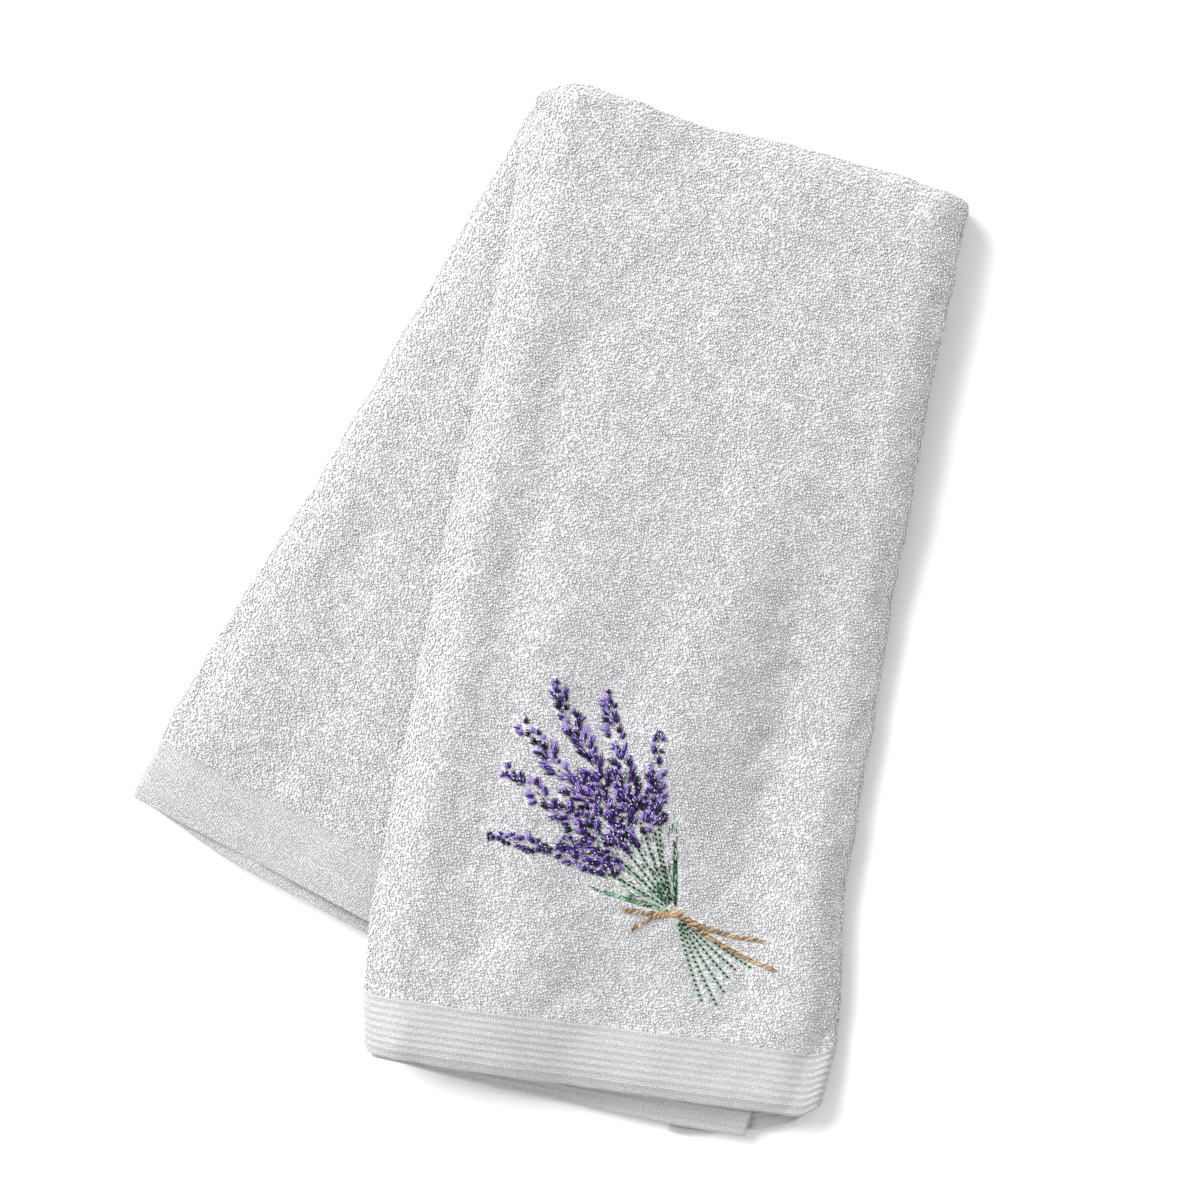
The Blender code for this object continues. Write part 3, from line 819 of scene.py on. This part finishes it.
# Two slim leaves beside the bunch, in slanting satin stitches: angle, length, main thread
LEAVES = ((0.0, 0.030, "leaf"), (73.0, 0.037, "pale"))
LEAF_WIDTH, LEAF_PITCH, LEAF_SLANT = 0.0029, 0.00050, 58
for angle, long, tip in LEAVES:
    for share in np.linspace(0.10, 1.0, int(long / LEAF_PITCH)):
        place = TIE + aim(angle) * long * share
        wide = LEAF_WIDTH * math.sin(math.pi * (share * 0.90 + 0.06)) ** 0.7 * rng.uniform(0.75, 1.1)
        slant = aim(angle + LEAF_SLANT)
        thread = tip if rng.random() < 0.6 else "green"
        greens.append(Stitch(place - slant * wide * 0.5, place + slant * wide * 0.6, thread, 0))

# Loose green stitches among the stems
LOOSE_STITCHES, LOOSE_LENGTH = 190, 0.0030
for _ in range(LOOSE_STITCHES):
    angle, near = BUNCH_ANGLE + rng.uniform(-36, 40), rng.uniform(0.006, 0.036)
    place = TIE + aim(angle) * near
    end = place + aim(angle + rng.uniform(-14, 14)) * LOOSE_LENGTH
    thread = ("green", "leaf", "pale", "pale")[rng.integers(4)]
    greens.append(Stitch(place, end, thread, 1))

# Cut stems under the tie
CUT_STEMS, FIRST_CUT, CUT_STEP, CUT_LENGTH = 6, 192, 7.5, 0.039
for number in range(CUT_STEMS):
    angle, long = FIRST_CUT + CUT_STEP * number, CUT_LENGTH + 0.004 * math.sin(number * 1.3)
    line = [TIE + aim(angle + 4 * share) * long * share for share in np.linspace(0.08, 1.0, 10)]
    greens += doubled(dashes(line, 0.0013, 0.0009, "green", STEM_LAYER), angle, 0.00038)
    for offset in (-PALE_ASIDE, PALE_ASIDE):
        beside = [place + aim(angle + 90) * offset for place in line]
        greens += dashes(beside, PALE_LENGTH, PALE_GAP, "pale", 0)

# Twine: loose ends of slanting stitches (angle, length, bend) and the knot over the stems
TWINE_ENDS = ((86, 0.022, 8), (112, 0.021, -16), (-108, 0.039, -14), (-120, 0.049, -10))
TWINE_PITCH, KNOT_LAYER = 0.00042, 4
KNOT_HALF_LENGTH, KNOT_HALF_WIDTH, KNOT_STITCHES = 0.0017, 0.0032, 7
for angle, long, bend in TWINE_ENDS:
    for share in np.arange(0.04, 1.0, TWINE_PITCH / long):
        leaning = angle + bend * (1 - share)
        place = TIE + aim(leaning) * long * share + aim(leaning + 90) * rng.normal(0.0, 0.00018)
        slant = aim(leaning + rng.uniform(28, 66)) * rng.uniform(0.0010, 0.0018)
        thread = ("tan", "straw", "straw", "gold")[rng.integers(4)]
        twine.append(Stitch(place - slant, place + slant, thread, 2 + rng.random()))
for offset in np.linspace(-KNOT_HALF_LENGTH, KNOT_HALF_LENGTH, KNOT_STITCHES):
    centre = TIE + aim(BUNCH_ANGLE) * offset
    half_knot = aim(BUNCH_ANGLE + rng.uniform(66, 96)) * (KNOT_HALF_WIDTH - abs(offset) * 0.5)
    thread = ("straw", "gold")[rng.integers(2)]
    twine.append(Stitch(centre - half_knot, centre + half_knot, thread, KNOT_LAYER))

# Top of the front, looked up from the plan
front_top = (middle + raised)[:first_cross, first_panel:last_panel + 1].reshape(-1, 3)
front_up = outward[:first_cross, first_panel:last_panel + 1].reshape(-1, 3)
front_tree = kdtree.KDTree(len(front_top))
for number, (x, y, _) in enumerate(front_top):
    front_tree.insert((x, y, 0.0), number)
front_tree.balance()


def on_front(plan):
    """Points on the front's ground above plan points, and the normals there."""
    nearest = np.array([front_tree.find((x, y, 0.0))[1] for x, y in plan])
    up = front_up[nearest]
    apart = plan - front_top[nearest, :2]
    height = front_top[nearest, 2] - np.sum(apart * up[:, :2], axis=1) / up[:, 2]
    return np.column_stack((plan, height)), up


THREAD_TWISTS = 3200.0  # to the metre


def thread_material(name, colour):
    """Dyed embroidery thread, twisted from fine glossy filaments: even in colour, with
    small soft highlights where the twist catches the light."""
    material, tree = new_material(name)
    place = node(tree, "ShaderNodeTexCoord")
    twist = node(tree, "ShaderNodeTexNoise", {
        "Vector": place.outputs["Object"], "Scale": THREAD_TWISTS, "Detail": 1.0,
    })
    bump = node(tree, "ShaderNodeBump", {
        "Height": twist.outputs["Fac"], "Strength": 0.6, "Distance": 0.0002,
    })
    gloss = node(tree, "ShaderNodeMapRange", {
        "Value": twist.outputs["Fac"], "To Min": 0.32, "To Max": 0.62,
    })
    shader = node(tree, "ShaderNodeBsdfPrincipled", {
        "Base Color": linear(colour), "Roughness": gloss.outputs["Result"], "IOR": 1.5,
        "Specular IOR Level": 0.25, "Normal": bump.outputs["Normal"],
    })
    node(tree, "ShaderNodeOutputMaterial", {"Surface": shader.outputs["BSDF"]})
    return material


THREADS = {}
for thread, name, colour in (
    ("dark", "dark violet thread", "150B2A"),
    ("violet", "violet thread", "4C2C88"),
    ("light", "light violet thread", "A890D2"),
    ("white", "white thread", "E6E6EA"),
    ("green", "dark green thread", "0C2014"),
    ("leaf", "green thread", "3F6B49"),
    ("pale", "pale green thread", "A6CBAC"),
    ("tan", "tan twine thread", "6C5236"),
    ("straw", "straw twine thread", "A5855C"),
    ("gold", "gold twine thread", "D8C49C"),
):
    THREADS[thread] = thread_material(name, colour)
stitched = kdtree.KDTree(3 * (len(flowers) + len(greens) + len(twine)))


def stitch_piece(name, stitches, threads):
    """Stitches as one mesh, with a slot for each thread."""
    starts = np.array([stitch.start for stitch in stitches])
    runs = np.array([stitch.end for stitch in stitches]) - starts
    layers = np.array([stitch.layer for stitch in stitches])
    plan = starts[:, None] + runs[:, None] * STITCH_SHARES[None, :, None]
    for x, y in plan[:, 1:4].reshape(-1, 2):
        stitched.insert((x, y, 0.0), 0)
    points, up = on_front(plan.reshape(-1, 2))
    up = up.reshape(*plan.shape[:2], 3)
    lift = THREAD_RISE * STITCH_LIFTS + THREAD_LAYER * layers[:, None] * (STITCH_LIFTS > 0)
    stations = points.reshape(up.shape) + up * lift[..., None]
    ahead = unit(stations[:, -1] - stations[:, 0])
    side = unit(np.cross(up[:, 2], ahead))
    radius = THREAD_WIDTH / 2 * STITCH_RADII * rng.uniform(0.9, 1.1, (len(stitches), 1))
    vertices, triangles = tubes(stations, side, up[:, 2], radius)
    slots = [threads.index(stitch.thread) for stitch in stitches]
    slots = np.repeat(slots, len(triangles) // len(stitches))
    return mesh_piece(name, vertices, triangles, [THREADS[thread] for thread in threads], slots)


embroidery = [
    stitch_piece("embroidered_flowers", flowers, ["dark", "violet", "light", "green", "pale", "white"]),
    stitch_piece("embroidered_stems", greens, ["green", "leaf", "pale"]),
    stitch_piece("embroidered_twine", twine, ["tan", "straw", "gold"]),
]
stitched.balance()

# ------------------------------------------------
# Pile: loops of soft cotton yarn, about 2 mm long as they lie, woven in with the ground
# and leaning towards one side. They stand on every face of terry that can be seen, except
# under the embroidery, and rise a little higher in clumps.
LOOP_LENGTH, LOOP_RADIUS, LOOP_HEIGHT, LOOP_CURL = 0.0018, 0.00041, 0.00072, 0.00012
LOOP_PITCH, LOOP_SCATTER, LOOP_FOOT = (0.00118, 0.00126), 0.38, 0.0003
LEAN_SPREAD, LEAN_WANDER, LEAN_PATCH = 0.26, 0.30, 0.016
LEAN_UP, CROWN_SHIFT = 0.12, (-0.16, 0.08)
LENGTHS, HEIGHTS, THICKNESSES = (0.7, 1.3), (0.6, 1.4), (0.85, 1.15)  # as shares
CLUMP_SIZE, CLUMP_RISE = 0.0046, 0.00042
STITCH_CLEARANCE, TABLE_CLEARANCE, UNDER_FRONT = 0.00085, 0.0001, 0.006
rng = np.random.default_rng(11)


def on_grid(values, row, column):
    """Values of a grid between its rows and columns."""
    row_low = np.clip(row.astype(int), 0, values.shape[0] - 2)
    column_low = np.clip(column.astype(int), 0, values.shape[1] - 2)
    down, along = row - row_low, column - column_low
    if values.ndim == 3:
        down, along = down[:, None], along[:, None]
    return (
        values[row_low, column_low] * (1 - down) * (1 - along)
        + values[row_low + 1, column_low] * down * (1 - along)
        + values[row_low, column_low + 1] * (1 - down) * along
        + values[row_low + 1, column_low + 1] * down * along
    )


def loop_places(first_row, last_row, first_column, last_column):
    """Places of the loops, as rows and columns of the cloth's grid."""
    across_range = flat_across[[first_column, last_column]]
    along_range = flat_along[[first_row, last_row]]
    xs = np.arange(across_range[0], across_range[1], LOOP_PITCH[0])
    ys = np.arange(along_range[0], along_range[1], LOOP_PITCH[1])
    x, y = np.meshgrid(xs, ys)
    x = x + (np.arange(len(ys)) % 2)[:, None] * LOOP_PITCH[0] / 2
    x = x + rng.uniform(-LOOP_SCATTER, LOOP_SCATTER, x.shape) * LOOP_PITCH[0]
    y = y + rng.uniform(-LOOP_SCATTER, LOOP_SCATTER, y.shape) * LOOP_PITCH[1]
    row = np.interp(y.ravel(), flat_along, np.arange(len(flat_along)))
    column = np.interp(x.ravel(), flat_across, np.arange(len(flat_across)))
    inside = (row > first_row) & (row < last_row) & (column > first_column) & (column < last_column)
    return row[inside], column[inside]


def make_pile(name, row, column, angle):
    """Loops at these places, leaning towards about this angle in plan."""
    base = on_grid(middle + raised, row, column)
    up = unit(on_grid(outward, row, column))
    count = len(base)
    turn = math.radians(angle) + rng.normal(0.0, LEAN_SPREAD, count)
    turn = turn + LEAN_WANDER * patches(base, LEAN_PATCH, 3)
    lean = np.column_stack((np.cos(turn), np.sin(turn), np.full(count, LEAN_UP)))
    ahead = unit(lean - up * np.sum(lean * up, axis=1, keepdims=True))
    side = np.cross(up, ahead)
    length = LOOP_LENGTH * rng.uniform(*LENGTHS, count)
    height = LOOP_HEIGHT * rng.uniform(*HEIGHTS, count) + CLUMP_RISE * patches(base, CLUMP_SIZE, 4)
    crown = rng.uniform(*CROWN_SHIFT, count)
    forward = np.column_stack((np.full(count, -0.5), crown, np.full(count, 0.5)))
    stations = base[:, None] + forward[:, :, None] * (length[:, None] * ahead)[:, None]
    stations[:, (0, 2)] -= LOOP_FOOT * up[:, None]
    stations[:, 1] += height[:, None] * up + LOOP_CURL * rng.normal(0.0, 1.0, (count, 1)) * side
    radius = LOOP_RADIUS * rng.uniform(*THICKNESSES, (count, 1))
    vertices, triangles = tubes(stations, side, up, radius)
    vertices[:, 2] = np.maximum(vertices[:, 2], TABLE_CLEARANCE)
    slots = np.repeat(rng.integers(0, len(yarns), count), len(triangles) // count)
    piece = mesh_piece(name, vertices, triangles, yarns, slots)
    return piece


YARN_TWISTS = 2600.0  # to the metre


def yarn_material(name, colour):
    """Loosely twisted cotton yarn: matt and fluffy, and light comes a little way through
    it, so that its shades are soft."""
    material, tree = new_material(name)
    place = node(tree, "ShaderNodeTexCoord")
    twist = node(tree, "ShaderNodeTexNoise", {
        "Vector": place.outputs["Object"], "Scale": YARN_TWISTS, "Detail": 1.0,
    })
    bump = node(tree, "ShaderNodeBump", {
        "Height": twist.outputs["Fac"], "Strength": 0.5, "Distance": 0.0003,
    })
    shader = node(tree, "ShaderNodeBsdfPrincipled", {
        "Base Color": linear(colour), "Roughness": 0.9, "Normal": bump.outputs["Normal"],
        "Subsurface Weight": 0.6, "Subsurface Radius": (1.0, 1.0, 1.0), "Subsurface Scale": 0.0010,
    })
    node(tree, "ShaderNodeOutputMaterial", {"Surface": shader.outputs["BSDF"]})
    return material


# Three whites, mixed at random: yarn is never quite even
yarns = [
    yarn_material("white cotton loop yarn", "D0D0D2"),
    yarn_material("bright cotton loop yarn", "DADADB"),
    yarn_material("soft white cotton loop yarn", "C5C5C7"),
]

FRONT_LOOP_ANGLE, BACK_LOOP_ANGLE = 62.0, 55.0
left_arc, right_arc = first_panel - FOLD_STEPS, last_panel + FOLD_STEPS

# The front and the crosswise fold, in three pieces
FRONT_PILES = ("pile_front_low", "pile_front_middle", "pile_front_high")
front_rows = np.linspace(last_band, first_cross + CROSS_STEPS - 1, len(FRONT_PILES) + 1).astype(int)
for name, first_row, last_row in zip(FRONT_PILES, front_rows, front_rows[1:]):
    row, column = loop_places(first_row, last_row, left_arc, right_arc)
    clear = np.array([
        stitched.find((x, y, 0.0))[2] > STITCH_CLEARANCE
        for x, y, _ in on_grid(middle, row, column)
    ])
    make_pile(name, row[clear], column[clear], FRONT_LOOP_ANGLE)

# The back, in two pieces, an upper and a lower one, over its left fold and the flap as far as the front's
# left edge
row, column = loop_places(first_back, last_back - 1, 0, first_panel)
back_places = on_grid(middle, row, column)
front_left = middle[:first_cross, left_arc:first_panel + 1].min(axis=1)
order = np.argsort(front_left[:, 1])
front_x = np.interp(back_places[:, 1], front_left[order, 1], front_left[order, 0])
seen = (back_places[:, 0] < front_x + UNDER_FRONT) | (column > left_arc + FOLD_STEPS / 2)
upper = row < (first_back + last_back) / 2
for name, chosen in (("pile_back_high", seen & upper), ("pile_back_low", seen & ~upper)):
    make_pile(name, row[chosen], column[chosen], BACK_LOOP_ANGLE)
